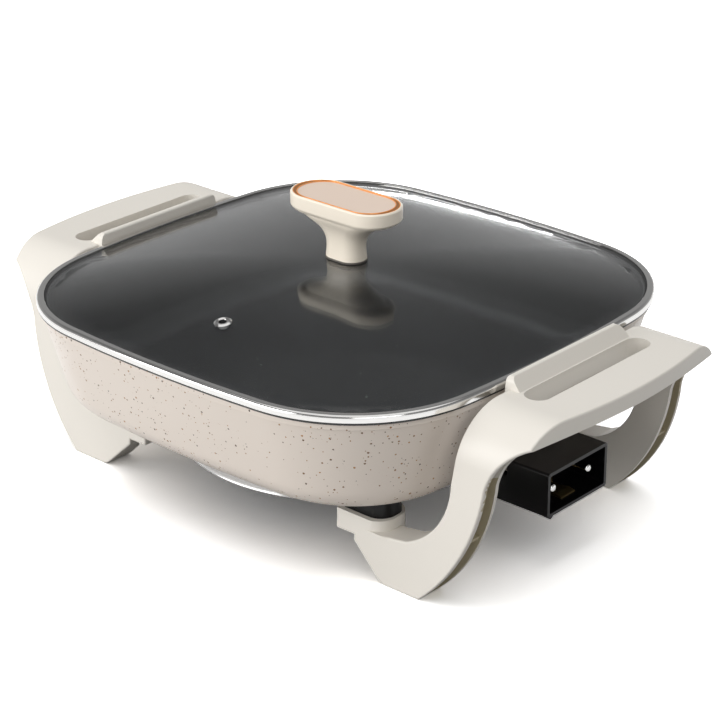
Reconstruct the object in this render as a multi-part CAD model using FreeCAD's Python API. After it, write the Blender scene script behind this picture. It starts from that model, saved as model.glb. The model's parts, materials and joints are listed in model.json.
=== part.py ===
import FreeCAD, Part
import math
import os

from FreeCAD import Vector

# Square electric skillet with a lift-off glass lid.
# Millimetres. Origin on the floor under the middle of the pan, +Z up, +X towards the power
# socket, -Y towards the front. The two brackets, at +X and -X, are handles and legs in one.

# Lid and pan outline: four shallow side arcs joined by four corner arcs.
OUTLINE_HALF = 150.0
SIDE_RADIUS = 860.0
CORNER_RADIUS = 83.0

# Pan
PAN_BOTTOM_Z = 49.0
PAN_TOP_Z = 108.5
PAN_LIP_INSET = 2.0
PAN_LIP_HEIGHT = 4.0
PAN_LIP_STEP = 1.2
PAN_FOOT_INSET = 17.7
PAN_WALL = 3.0
PAN_FLOOR = 4.0
PAN_FILLET = 20.0
PAN_LEDGE = 5.0
PAN_FLAT_INSET = 42.0

# Lid
LID_GAP = 0.3
RIM_HEIGHT = 5.2
RIM_FLANGE = 4.3
RIM_SHEET = 0.6
RIM_BEAD = 1.8
GLASS = 4.0
GLASS_EDGE_INSET = 0.8
DOME_INSET = 8.0
DOME_RISE = 16.4
DOME_CAP = 0.11
VENT_Y = -98.5
VENT_BORE = 2.3
VENT_TUBE = 2.9
VENT_FLANGE = 5.0
VENT_FLANGE_THICK = 0.9

# Knob: a bar with round ends along X, on an oval neck
KNOB_HALF_STRAIGHT = 19.0
KNOB_HALF_WIDTH = 17.2
KNOB_HEIGHT = 35.0
KNOB_BAR = 10.5
NECK_HALF_STRAIGHT = 4.0
NECK_HALF_WIDTH = 8.6
RING_MARGIN = 1.3
RING_SIDE = 1.5
RING_END = 3.2
RING_DEPTH = 1.2
INSET_DEPTH = 0.8
KNOB_GASKET = 1.0
KNOB_SCREW_R = 2.45
KNOB_SCREW_HEAD_R = 4.6
KNOB_SCREW_HEAD = 3.2
INSERT_R = 4.2
INSERT_LENGTH = 16.0
KNOB_WASHER_R = 9.0
KNOB_WASHER = 1.0
KNOB_SEAL_R = 10.5
GLASS_BORE = 4.0

# Bracket: a strip that runs up one leg, across the handle and down the other leg.
# Sizes called OUT are distances from the lid's outline, outwards along X.
STRIP_FOOT_Y = 93.2
STRIP_SHOULDER_Y = 86.8
BEND_RADIUS = 30.0
HANDLE_TOP_Z = 112.0
MOULDING = 3.0
WEB = 3.0
BACK_WALL = 2.5
BACK_Y = 75.0
GRIP_OUT = 53.0
GRIP_EDGE_RADIUS = 330.0
GRIP_SKIRT = 9.0
SLOT_OUT = 12.0
SLOT_WIDTH = 14.5
SLOT_HALF = 50.0
COAMING = 2.2
COAMING_DEPTH = 11.0
GUARD_OUT = 1.6
GUARD_THICK = 3.2
GUARD_RISE = 6.6
GUARD_DROP = 14.0
GUARD_HALF = 46.5
TOE_OUT = -17.2
CALF_OUT = 11.6
CALF_Z = 40.0
KNEE_OUT = 20.6
KNEE_Z = 74.0
SHOULDER_OUT = 30.0
SHOULDER_CURVE_Z = 91.2
INNER_TOP_OUT = 5.0
INNER_KNEE_OUT = -1.0
INNER_KNEE_Z = 70.0
INNER_CALF_OUT = -7.0
INNER_CALF_Z = 47.5
INNER_LOW_OUT = -28.0
INNER_LOW_Z = 29.8
HEEL_OUT = -43.9
HEEL_ROUND = 3.0
ARM_TOP_Z = 27.4
ARM_STEP_OUT = -63.6
ARM_STEP_Z = 18.6
SOLE = 3.0
RIB = 2.0
RIB_Z = 40.0
RIB_SETBACK = 1.5
EDGE_ROUND = 1.2

# Cradles at the inner ends of the legs, and the black blocks that they hold
CRADLE_OUT = -44.3
CRADLE_LENGTH = 31.9
CRADLE_INNER_Y = 64.0
CRADLE_BOTTOM_Z = 22.0
CRADLE_TOP_Z = 33.5
CRADLE_WALL = 2.0
CRADLE_FLOOR = 3.0
CRADLE_ROUND = 11.5
CRADLE_CORNER = 1.2
BLOCK_PLAY = 0.2
BLOCK_BORE = 2.7
BLOCK_NECK = 1.2
BLOCK_NECK_HEIGHT = 2.3
SCREW_R = 2.2
SCREW_HEAD_R = 4.6
SCREW_HEAD = 3.0
WASHER_R = 6.5
WASHER = 1.0
SCREW_WELL_GAP = 0.5
SCREW_BITE = 2.6

# Heating element, its clamps and its cover
COVER_TO_CRADLE = 3.9
COVER_BOTTOM_Z = 26.0
COVER_SHEET = 1.0
COVER_ROUND = 3.0
COVER_RECESS_R = 26.0
COVER_RECESS = 4.0
COVER_BEAD = 0.9
COVER_SCREW_BORE = 2.5
BOSS_R = 8.0
ELEMENT_TO_COVER = 26.5
ELEMENT_TUBE_R = 3.75
ELEMENT_GAP = 0.15
ELEMENT_BEND = 12.0
CLAMP_SCREW_INSET = 18.0
CLAMP_WIDTH = 12.0
CLAMP_THICK = 1.5
CLAMP_BOSS_R = 5.0
CLAMP_SCREW_R = 1.8
CLAMP_SCREW_HEAD_R = 3.6
CLAMP_SCREW_HEAD = 2.4

# Socket for the plug-in control
SOCKET_OUT = 15.0
SOCKET_BOX = 27.5
SOCKET_UNDER_COVER = 8.5
SOCKET_HALF = 26.0
SOCKET_BOTTOM_Z = 32.3
SOCKET_TOP_Z = 58.5
SOCKET_WALL = 2.0
SOCKET_DEPTH = 22.0
SOCKET_ROUND = 1.5
SOCKET_NUB_R = 2.2
SOCKET_NUB_LENGTH = 4.0
SOCKET_TO_PAN = 0.3
PIN_R = 2.5
PIN_TAIL_R = 2.1
PIN_SPACING = 31.2
PIN_SETBACK = 3.8
PIN_TAIL = 31.0
PROBE_BORE = 3.7
PROBE_SLEEVE_WALL = 0.7
PROBE_SLEEVE_INSET = 26.0
PROBE_DROP = 0.2
PROBE_BLOCK = 14.0
PROBE_BLOCK_WALL = 3.0
EARTH_WIDTH = 12.0
EARTH_THICK = 0.8
EARTH_LENGTH = 16.0
EARTH_TAB = 5.0
SOCKET_SCREW_INSET = 29.5
SOCKET_SCREW_Y = 8.3
SOCKET_SCREW_R = 1.6
SOCKET_SCREW_COLUMN_R = 2.9

# Worked out from the sizes above
RIM_BOTTOM_Z = PAN_TOP_Z + LID_GAP
RIM_TOP_Z = RIM_BOTTOM_Z + RIM_HEIGHT
GLASS_BOTTOM_Z = RIM_BOTTOM_Z + RIM_SHEET
GLASS_TOP_Z = GLASS_BOTTOM_Z + GLASS
CROWN_Z = GLASS_TOP_Z + DOME_RISE
KNOB_BASE_Z = CROWN_Z + KNOB_GASKET
KNOB_TOP_Z = KNOB_BASE_Z + KNOB_HEIGHT
BEND_START_Z = HANDLE_TOP_Z - BEND_RADIUS
STRIP_LEAN = (STRIP_FOOT_Y - STRIP_SHOULDER_Y) / BEND_START_Z
GRIP_EDGE_X = OUTLINE_HALF + GRIP_OUT
SLOT_INNER_X = OUTLINE_HALF + SLOT_OUT
GUARD_INNER_X = OUTLINE_HALF + GUARD_OUT
CRADLE_X1 = OUTLINE_HALF + CRADLE_OUT
CRADLE_X0 = CRADLE_X1 - CRADLE_LENGTH
CRADLE_FRONT_Y = STRIP_FOOT_Y - STRIP_LEAN * ARM_TOP_Z
CRADLE_OUTER_Y = STRIP_FOOT_Y - STRIP_LEAN * CRADLE_TOP_Z - MOULDING
CRADLE_SCREW_X = (CRADLE_X0 + CRADLE_X1) / 2
CRADLE_SCREW_Y = (CRADLE_INNER_Y + CRADLE_OUTER_Y) / 2
COVER_R = (math.hypot(CRADLE_X0 + CRADLE_ROUND, CRADLE_INNER_Y + CRADLE_ROUND)
           - CRADLE_ROUND - COVER_TO_CRADLE)
COVER_FLOOR_Z = COVER_BOTTOM_Z + COVER_RECESS
ELEMENT_R = COVER_R - ELEMENT_TO_COVER
ELEMENT_Z = PAN_BOTTOM_Z - ELEMENT_GAP - ELEMENT_TUBE_R
CLAMP_SCREW_RING = ELEMENT_R - CLAMP_SCREW_INSET
CLAMP_TOP_Z = ELEMENT_Z - ELEMENT_TUBE_R
SOCKET_FRONT_X = OUTLINE_HALF + SOCKET_OUT
SOCKET_STEP_X = SOCKET_FRONT_X - SOCKET_BOX
SOCKET_REAR_X = COVER_R - SOCKET_UNDER_COVER
SOCKET_MOUTH_X = SOCKET_FRONT_X - SOCKET_DEPTH
SOCKET_ROOF_Z = PAN_BOTTOM_Z - SOCKET_TO_PAN
SOCKET_SCREW_X = SOCKET_STEP_X - SOCKET_SCREW_INSET
PIN_TIP_X = SOCKET_FRONT_X - PIN_SETBACK
ELEMENT_END_X = SOCKET_MOUTH_X - PIN_TAIL
PROBE_SLEEVE_R = PROBE_BORE + PROBE_SLEEVE_WALL
PROBE_SLEEVE_END_X = ELEMENT_R - PROBE_SLEEVE_INSET
PROBE_Z = PAN_BOTTOM_Z - PROBE_DROP - PROBE_SLEEVE_R

UP = Vector(0, 0, 1)
ORIGIN = Vector(0, 0, 0)

os.makedirs("parts", exist_ok=True)


# Helpers

def rounded_wire(points, place):
    """Closed wire through (u, v) or (u, v, corner radius) points."""
    flat = [Vector(p[0], p[1], 0) for p in points]
    count = len(points)
    starts = []
    ends = []
    arcs = []
    for i, point in enumerate(points):
        corner = flat[i]
        radius = point[2] if len(point) > 2 else 0
        back = (flat[i - 1] - corner).normalize()
        ahead = (flat[(i + 1) % count] - corner).normalize()
        if not radius:
            starts.append(corner)
            ends.append(corner)
            arcs.append(None)
            continue
        half = back.getAngle(ahead) / 2
        reach = radius / math.tan(half)
        middle = (back + ahead).normalize() * (radius / math.sin(half) - radius)
        starts.append(corner + back * reach)
        ends.append(corner + ahead * reach)
        arcs.append(corner + middle)
    edges = []
    for i in range(count):
        here = [place(v.x, v.y) for v in (starts[i], ends[i])]
        if arcs[i] is not None:
            middle = place(arcs[i].x, arcs[i].y)
            edges.append(Part.Arc(here[0], middle, here[1]).toShape())
        after = starts[(i + 1) % count]
        after = place(after.x, after.y)
        if here[1].distanceToPoint(after) > 1e-6:
            edges.append(Part.LineSegment(here[1], after).toShape())
    return Part.Wire(edges)


def outline_arcs(inset=0.0, scale=1.0):
    """Centre, radius, start and sweep of the outline's eight arcs, in order."""
    half = (OUTLINE_HALF - inset) * scale
    side = (SIDE_RADIUS - inset) * scale
    corner = (CORNER_RADIUS - inset) * scale
    offset = half - side
    root = math.sqrt(offset ** 2 - 2 * (offset ** 2 - (side - corner) ** 2))
    middle = (offset + root) / 2
    spread = math.degrees(math.atan2(middle, middle - offset))
    arcs = []
    for turn in (0, 90, 180, 270):
        spin = FreeCAD.Rotation(UP, turn)
        side_centre = spin.multVec(Vector(offset, 0, 0))
        corner_centre = spin.multVec(Vector(middle, middle, 0))
        arcs.append((side_centre, side, turn - spread, 2 * spread))
        arcs.append((corner_centre, corner, turn + spread, 90 - 2 * spread))
    return arcs


def outline_wire(z, inset=0.0, scale=1.0):
    edges = []
    for centre, radius, start, sweep in outline_arcs(inset, scale):
        points = []
        for share in (0, 0.5, 1):
            angle = math.radians(start + sweep * share)
            points.append(centre + Vector(radius * math.cos(angle), radius * math.sin(angle), z))
        edges.append(Part.Arc(*points).toShape())
    return Part.Wire(edges)


def outline_prism(z0, z1, inset=0.0):
    return Part.Face(outline_wire(z0, inset)).extrude(Vector(0, 0, z1 - z0))


def outline_ring(profile):
    """Solid that carries a profile of (inset, z, corner radius) points round the outline."""
    pieces = []
    for centre, radius, start, sweep in outline_arcs():
        wire = rounded_wire(profile, lambda inset, z: Vector(radius - inset, 0, z))
        piece = Part.Face(wire)
        piece.rotate(ORIGIN, UP, start)
        piece = piece.revolve(ORIGIN, UP, sweep)
        piece.translate(centre)
        pieces.append(piece)
    return fused(pieces)


def turned(profile, axis_at=ORIGIN):
    """Solid of revolution about Z from (radius, z, corner radius) points."""
    wire = rounded_wire(profile, lambda r, z: Vector(r, 0, z))
    solid = Part.Face(wire).revolve(ORIGIN, UP, 360)
    solid.translate(axis_at)
    return solid


def post(radius, z0, z1, x=0.0, y=0.0):
    return Part.makeCylinder(radius, z1 - z0, Vector(x, y, z0))


def rod_x(radius, x0, x1, y, z):
    return Part.makeCylinder(radius, x1 - x0, Vector(x0, y, z), Vector(1, 0, 0))


def block(x0, x1, y0, y1, z0, z1):
    return Part.makeBox(x1 - x0, y1 - y0, z1 - z0, Vector(x0, y0, z0))


def stadium_wire(half_straight, half_width, z):
    s = half_straight
    w = half_width
    corners = [Vector(-s, -w, z), Vector(s, -w, z), Vector(s, w, z), Vector(-s, w, z)]
    edges = [
        Part.LineSegment(corners[0], corners[1]).toShape(),
        Part.Arc(corners[1], Vector(s + w, 0, z), corners[2]).toShape(),
        Part.LineSegment(corners[2], corners[3]).toShape(),
        Part.Arc(corners[3], Vector(-s - w, 0, z), corners[0]).toShape(),
    ]
    return Part.Wire(edges)


def stadium(half_straight, half_width, z0, z1):
    face = Part.Face(stadium_wire(half_straight, half_width, z0))
    return face.extrude(Vector(0, 0, z1 - z0))


def fused(pieces):
    return pieces[0].multiFuse(pieces[1:]).removeSplitter()


def screw(x, y, seat_z, tip_z, shank_r, head_r, head):
    """Pan-head screw driven upwards, its head under seat_z."""
    profile = [
        (0, seat_z - head),
        (head_r, seat_z - head, head * 0.6),
        (head_r, seat_z),
        (shank_r, seat_z),
        (shank_r, tip_z),
        (0, tip_z),
    ]
    return turned(profile, Vector(x, y, 0))


def save(name, shape):
    shape.exportStep("parts/" + name + ".step")
    print(name, "solids", len(shape.Solids), "valid", shape.isValid(), "volume", round(shape.Volume))


# Pan

def pan_wall_profile():
    """Wall and outer floor, from the flat middle out, up to the lid ledge and back."""
    lip_bottom = PAN_TOP_Z - PAN_LIP_HEIGHT
    wall_top_inset = PAN_LIP_INSET + PAN_LIP_STEP
    lean = (PAN_FOOT_INSET - wall_top_inset) / (lip_bottom - PAN_BOTTOM_Z)
    inner_top_z = PAN_TOP_Z - PAN_LIP_HEIGHT
    inner_floor_z = PAN_BOTTOM_Z + PAN_FLOOR
    inner_foot = PAN_FOOT_INSET - lean * PAN_FLOOR + PAN_WALL
    inner_top = inner_foot - lean * (inner_top_z - inner_floor_z)
    ledge = PAN_LIP_INSET + PAN_LEDGE
    return [
        (PAN_FLAT_INSET, PAN_BOTTOM_Z),
        (PAN_FOOT_INSET, PAN_BOTTOM_Z, PAN_FILLET),
        (wall_top_inset, lip_bottom),
        (PAN_LIP_INSET, lip_bottom + PAN_LIP_STEP * 0.6),
        (PAN_LIP_INSET, PAN_TOP_Z, 0.8),
        (ledge, PAN_TOP_Z, 1.0),
        (inner_top, inner_top_z),
        (inner_foot, inner_floor_z, PAN_FILLET - PAN_WALL),
        (PAN_FLAT_INSET, inner_floor_z),
    ]


def clamp_angles():
    return (90, 180, 270)


def ring_point(radius, degrees):
    angle = math.radians(degrees)
    return radius * math.cos(angle), radius * math.sin(angle)


def bracket_screw_places(side):
    x = side * CRADLE_SCREW_X
    return [(x, -CRADLE_SCREW_Y), (x, CRADLE_SCREW_Y)]


def make_pan():
    floor = outline_prism(PAN_BOTTOM_Z, PAN_BOTTOM_Z + PAN_FLOOR, PAN_FLAT_INSET)
    pieces = [outline_ring(pan_wall_profile()), floor]
    pieces.append(post(BOSS_R, COVER_FLOOR_Z + COVER_SHEET, PAN_BOTTOM_Z))
    for degrees in clamp_angles():
        x, y = ring_point(CLAMP_SCREW_RING, degrees)
        pieces.append(post(CLAMP_BOSS_R, CLAMP_TOP_Z, PAN_BOTTOM_Z, x, y))
    block_bottom = PROBE_Z - PROBE_SLEEVE_R - PROBE_BLOCK_WALL
    block_half = PROBE_SLEEVE_R + PROBE_BLOCK_WALL
    pieces.append(block(PROBE_SLEEVE_END_X, PROBE_SLEEVE_END_X + PROBE_BLOCK,
                        -block_half, block_half, block_bottom, PAN_BOTTOM_Z))
    pan = fused(pieces)
    cuts = [rod_x(PROBE_SLEEVE_R, PROBE_SLEEVE_END_X - 1,
                  PROBE_SLEEVE_END_X + PROBE_BLOCK + 1, 0, PROBE_Z)]
    cuts.append(post(SCREW_R, COVER_FLOOR_Z, PAN_BOTTOM_Z - 2))
    for degrees in clamp_angles():
        x, y = ring_point(CLAMP_SCREW_RING, degrees)
        cuts.append(post(CLAMP_SCREW_R, CLAMP_TOP_Z - 1, PAN_BOTTOM_Z - 1, x, y))
    for side in (-1, 1):
        for x, y in bracket_screw_places(side):
            cuts.append(post(SCREW_R, PAN_BOTTOM_Z - 1, PAN_BOTTOM_Z + SCREW_BITE, x, y))
        cuts.append(post(SOCKET_SCREW_R, PAN_BOTTOM_Z - 1, PAN_BOTTOM_Z + SCREW_BITE,
                         SOCKET_SCREW_X, side * SOCKET_SCREW_Y))
    return pan.cut(cuts[0].multiFuse(cuts[1:]))


# Heating element

def make_element():
    """One bent tube: a ring with its two ends led straight out to the socket."""
    lead_y = PIN_SPACING / 2
    bend_y = lead_y + ELEMENT_BEND
    bend_x = math.sqrt((ELEMENT_R + ELEMENT_BEND) ** 2 - bend_y ** 2)
    towards = math.atan2(bend_y, bend_x)
    z = ELEMENT_Z

    def bend_point(angle, side):
        return Vector(bend_x + ELEMENT_BEND * math.cos(angle),
                      side * (bend_y + ELEMENT_BEND * math.sin(angle)), z)

    def ring_at(angle):
        return Vector(ELEMENT_R * math.cos(angle), ELEMENT_R * math.sin(angle), z)

    down = -math.pi / 2
    inward = towards - math.pi
    halfway = (down + inward) / 2
    edges = []
    edges.append(Part.LineSegment(Vector(ELEMENT_END_X, lead_y, z),
                                  Vector(bend_x, lead_y, z)).toShape())
    edges.append(Part.Arc(bend_point(down, 1), bend_point(halfway, 1),
                          bend_point(inward, 1)).toShape())
    edges.append(Part.Arc(ring_at(towards), ring_at((towards + math.pi) / 2),
                          ring_at(math.pi)).toShape())
    edges.append(Part.Arc(ring_at(math.pi), ring_at(-(towards + math.pi) / 2),
                          ring_at(-towards)).toShape())
    edges.append(Part.Arc(bend_point(inward, -1), bend_point(halfway, -1),
                          bend_point(down, -1)).toShape())
    edges.append(Part.LineSegment(Vector(bend_x, -lead_y, z),
                                  Vector(ELEMENT_END_X, -lead_y, z)).toShape())
    path = Part.Wire(edges)
    section = Part.Wire(Part.makeCircle(ELEMENT_TUBE_R, Vector(ELEMENT_END_X, lead_y, z),
                                        Vector(1, 0, 0)))
    return path.makePipeShell([section], True, False)


def make_clamps():
    """Three spring strips that hold the tube up against the pan."""
    strips = []
    inner = CLAMP_SCREW_RING - CLAMP_WIDTH / 2
    outer = ELEMENT_R + ELEMENT_TUBE_R
    for degrees in clamp_angles():
        strip = block(inner, outer, -CLAMP_WIDTH / 2, CLAMP_WIDTH / 2,
                      CLAMP_TOP_Z - CLAMP_THICK, CLAMP_TOP_Z)
        hook = block(outer, outer + CLAMP_THICK, -CLAMP_WIDTH / 2, CLAMP_WIDTH / 2,
                     CLAMP_TOP_Z - CLAMP_THICK, ELEMENT_Z)
        strip = fused([strip, hook])
        strip = strip.cut(post(CLAMP_SCREW_R + 0.3, CLAMP_TOP_Z - CLAMP_THICK - 1,
                               CLAMP_TOP_Z + 1, CLAMP_SCREW_RING, 0))
        strip.rotate(ORIGIN, UP, degrees)
        strips.append(strip)
    return Part.makeCompound(strips)


def make_clamp_screws():
    screws = []
    for degrees in clamp_angles():
        x, y = ring_point(CLAMP_SCREW_RING, degrees)
        screws.append(screw(x, y, CLAMP_TOP_Z - CLAMP_THICK, PAN_BOTTOM_Z - 1.5, CLAMP_SCREW_R,
                            CLAMP_SCREW_HEAD_R, CLAMP_SCREW_HEAD))
    return Part.makeCompound(screws)


def make_cover():
    """Pressed dish under the element, its rim against the pan, its middle pushed in."""
    top = PAN_BOTTOM_Z
    low = COVER_BOTTOM_Z
    t = COVER_SHEET
    slope = COVER_RECESS * 0.6
    profile = [
        (COVER_SCREW_BORE, COVER_FLOOR_Z),
        (COVER_RECESS_R - slope, COVER_FLOOR_Z, 1.5),
        (COVER_RECESS_R + slope, low, 1.5),
        (COVER_R - COVER_BEAD, low),
        (COVER_R, low + COVER_BEAD, COVER_BEAD * 0.8),
        (COVER_R - COVER_BEAD, low + 2 * COVER_BEAD + t),
        (COVER_R - COVER_BEAD, top),
        (COVER_R - COVER_BEAD - t, top),
        (COVER_R - COVER_BEAD - t, low + t, COVER_ROUND),
        (COVER_RECESS_R + slope, low + t, 1.5),
        (COVER_RECESS_R - slope, COVER_FLOOR_Z + t, 1.5),
        (COVER_SCREW_BORE, COVER_FLOOR_Z + t),
    ]
    cover = turned(profile)
    room = SOCKET_TO_PAN
    notch = block(SOCKET_REAR_X - room, COVER_R + 5, -SOCKET_HALF - room, SOCKET_HALF + room,
                  SOCKET_BOTTOM_Z - room, PAN_BOTTOM_Z + 1)
    return cover.cut(notch)


def make_cover_washer():
    ring = post(WASHER_R + 1, COVER_FLOOR_Z - WASHER, COVER_FLOOR_Z)
    return ring.cut(post(SCREW_R + 0.2, COVER_FLOOR_Z - WASHER - 1, COVER_FLOOR_Z + 1))


def make_cover_screw():
    return screw(0, 0, COVER_FLOOR_Z - WASHER, PAN_BOTTOM_Z - 4, SCREW_R, SCREW_HEAD_R, SCREW_HEAD)


# Socket

def across_x(points, x0, x1):
    """Prism along X from a closed (y, z, corner radius) outline."""
    wire = rounded_wire(points, lambda y, z: Vector(x0, y, z))
    return Part.Face(wire).extrude(Vector(x1 - x0, 0, 0))


def across_y(points, y0, y1):
    """Prism along Y from a closed (x, z, corner radius) outline."""
    wire = rounded_wire(points, lambda x, z: Vector(x, y0, z))
    return Part.Face(wire).extrude(Vector(0, y1 - y0, 0))


def socket_shell():
    """Outside of the socket: a tall box in front, a low trough behind it under the pan."""
    half = SOCKET_HALF
    low = SOCKET_BOTTOM_Z
    body = across_y([
        (SOCKET_REAR_X, low),
        (SOCKET_FRONT_X, low),
        (SOCKET_FRONT_X, SOCKET_TOP_Z),
        (SOCKET_STEP_X, SOCKET_TOP_Z, SOCKET_ROUND),
        (SOCKET_STEP_X, SOCKET_ROOF_Z),
        (SOCKET_REAR_X, SOCKET_ROOF_Z),
    ], -half, half)
    return body.common(across_x([
        (-half, low, SOCKET_ROUND),
        (half, low, SOCKET_ROUND),
        (half, SOCKET_TOP_Z, SOCKET_ROUND),
        (-half, SOCKET_TOP_Z, SOCKET_ROUND),
    ], SOCKET_REAR_X, SOCKET_FRONT_X))


def make_socket_housing():
    """Black moulding with an open mouth, a wall that carries the pins, and a trough behind."""
    inner = SOCKET_HALF - SOCKET_WALL
    floor = SOCKET_BOTTOM_Z + SOCKET_WALL
    roof = SOCKET_TOP_Z - SOCKET_WALL
    mouth = across_x([(-inner, floor, 1.0), (inner, floor, 1.0), (inner, roof, 1.0),
                      (-inner, roof, 1.0)], SOCKET_MOUTH_X, SOCKET_FRONT_X + 1)
    trough = block(SOCKET_REAR_X - 1, SOCKET_STEP_X, -inner, inner, floor, PAN_BOTTOM_Z)
    cuts = [mouth, trough]
    for side in (-1, 1):
        cuts.append(rod_x(PIN_TAIL_R, SOCKET_STEP_X - 1, SOCKET_MOUTH_X + 1,
                          side * PIN_SPACING / 2, ELEMENT_Z))
    cuts.append(rod_x(PROBE_SLEEVE_R, SOCKET_STEP_X - 1, SOCKET_MOUTH_X + 1, 0, PROBE_Z))
    body = socket_shell().cut(cuts[0].multiFuse(cuts[1:]))
    pieces = [body]
    for side in (-1, 1):
        pieces.append(post(SOCKET_SCREW_COLUMN_R, SOCKET_BOTTOM_Z, SOCKET_ROOF_Z,
                           SOCKET_SCREW_X, side * SOCKET_SCREW_Y))
    nub = rod_x(SOCKET_NUB_R, SOCKET_FRONT_X - SOCKET_NUB_LENGTH, SOCKET_FRONT_X,
                SOCKET_NUB_R * 1.5 - SOCKET_HALF, SOCKET_BOTTOM_Z + SOCKET_NUB_R * 0.4)
    pieces.append(nub.cut(mouth))
    body = fused(pieces)
    for side in (-1, 1):
        body = body.cut(post(SOCKET_SCREW_R + 0.2, SOCKET_BOTTOM_Z - 1, PAN_BOTTOM_Z,
                             SOCKET_SCREW_X, side * SOCKET_SCREW_Y))
    return body


def make_pin(side):
    """Contact pin: thin tail from the element's end, shoulder on the wall, round nose."""
    length = PIN_TIP_X - ELEMENT_END_X
    pin = turned([(0, 0), (PIN_TAIL_R, 0), (PIN_TAIL_R, PIN_TAIL), (PIN_R, PIN_TAIL),
                  (PIN_R, length, PIN_R * 0.6), (0, length)])
    pin.rotate(ORIGIN, Vector(0, 1, 0), 90)
    pin.translate(Vector(ELEMENT_END_X, side * PIN_SPACING / 2, ELEMENT_Z))
    return pin


def make_probe_sleeve():
    outer = rod_x(PROBE_SLEEVE_R, PROBE_SLEEVE_END_X, SOCKET_MOUTH_X, 0, PROBE_Z)
    return outer.cut(rod_x(PROBE_BORE, PROBE_SLEEVE_END_X - 1, SOCKET_FRONT_X, 0, PROBE_Z))


def make_earth_strip():
    """Earth contact that lies along the floor of the socket's mouth, humped near its nose."""
    floor = SOCKET_BOTTOM_Z + SOCKET_WALL
    top = floor + EARTH_THICK
    x0 = SOCKET_MOUTH_X
    return across_y([
        (x0, floor),
        (x0 + EARTH_LENGTH, floor),
        (x0 + EARTH_LENGTH, top, EARTH_THICK * 0.5),
        (x0 + EARTH_LENGTH * 0.75, top + EARTH_THICK * 1.5, EARTH_THICK),
        (x0 + EARTH_LENGTH * 0.4, top),
        (x0 + EARTH_THICK, top, EARTH_THICK * 0.6),
        (x0 + EARTH_THICK, floor + EARTH_TAB),
        (x0, floor + EARTH_TAB),
    ], -EARTH_WIDTH / 2, EARTH_WIDTH / 2)


def make_socket_screws():
    screws = []
    for side in (-1, 1):
        screws.append(screw(SOCKET_SCREW_X, side * SOCKET_SCREW_Y, SOCKET_BOTTOM_Z,
                            PAN_BOTTOM_Z + SCREW_BITE, SOCKET_SCREW_R, CLAMP_SCREW_HEAD_R,
                            CLAMP_SCREW_HEAD))
    return Part.makeCompound(screws)


# Brackets

def strip_band(inset, x0, x1):
    """Everything under the strip's surface, drawn across Y and Z and carried along X."""
    foot = STRIP_FOOT_Y - inset
    top = HANDLE_TOP_Z - inset
    corner = foot - STRIP_LEAN * HANDLE_TOP_Z
    bend = BEND_RADIUS - inset
    return across_x([(-foot, 0), (-corner, top, bend), (corner, top, bend), (foot, 0)], x0, x1)


def out_at(out, z):
    """Point of the leg's front view, its X measured out from the lid's outline."""
    return Vector(OUTLINE_HALF + out, 0, z)


def wire_through(steps):
    """Closed wire: a point draws a line to it, a pair of points an arc through both."""
    here = steps[0]
    edges = []
    for step in steps[1:] + [here]:
        if isinstance(step, tuple):
            edges.append(Part.Arc(here, step[0], step[1]).toShape())
            here = step[1]
        else:
            edges.append(Part.LineSegment(here, step).toShape())
            here = step
    return Part.Wire(edges)


def pan_side(inset):
    """The leg's S-curve towards the pan: its upper end, a point on it, and its lower end."""
    points = [out_at(INNER_KNEE_OUT, INNER_KNEE_Z), out_at(INNER_CALF_OUT, INNER_CALF_Z),
              out_at(INNER_LOW_OUT, INNER_LOW_Z)]
    curve = Part.Arc(*points).toShape().Curve
    grow = (curve.Radius + inset) / curve.Radius
    return [curve.Center + (point - curve.Center) * grow for point in points]


def across_legs(wire):
    """Front-view outline carried right across both legs."""
    face = Part.Face(wire)
    face.translate(Vector(0, -2 * STRIP_FOOT_Y, 0))
    return face.extrude(Vector(0, 4 * STRIP_FOOT_Y, 0))


def corner_arc(corner, before, after, reach):
    """Arc that rounds a corner between two directions, from reach before it to reach after."""
    before = (before - corner).normalize()
    after = (after - corner).normalize()
    half = before.getAngle(after) / 2
    middle = (before + after).normalize() * reach * (1 - math.sin(half)) / math.cos(half)
    return corner + before * reach, corner + middle, corner + after * reach


def leg_outline():
    """Front view of a leg and of the handle's end."""
    knee, calf, low = pan_side(0)
    over = HANDLE_TOP_Z + GUARD_RISE
    skirt = HANDLE_TOP_Z - GRIP_SKIRT
    step = out_at(ARM_STEP_OUT, ARM_STEP_Z)
    toe = out_at(TOE_OUT, 0)
    heel_start, heel_middle, heel_end = corner_arc(out_at(HEEL_OUT, 0), step, toe, HEEL_ROUND)
    wire = wire_through([
        out_at(INNER_TOP_OUT, over),
        knee,
        (calf, low),
        out_at(CRADLE_OUT, ARM_TOP_Z),
        Vector(CRADLE_X0, 0, ARM_TOP_Z),
        Vector(CRADLE_X0, 0, CRADLE_BOTTOM_Z),
        out_at(ARM_STEP_OUT, CRADLE_BOTTOM_Z),
        step,
        heel_start,
        (heel_middle, heel_end),
        toe,
        (out_at(CALF_OUT, CALF_Z), out_at(KNEE_OUT, KNEE_Z)),
        (out_at(SHOULDER_OUT, SHOULDER_CURVE_Z), out_at(GRIP_OUT - 1, skirt)),
        out_at(GRIP_OUT + MOULDING, skirt),
        out_at(GRIP_OUT + MOULDING, over),
    ])
    return across_legs(wire)


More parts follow.
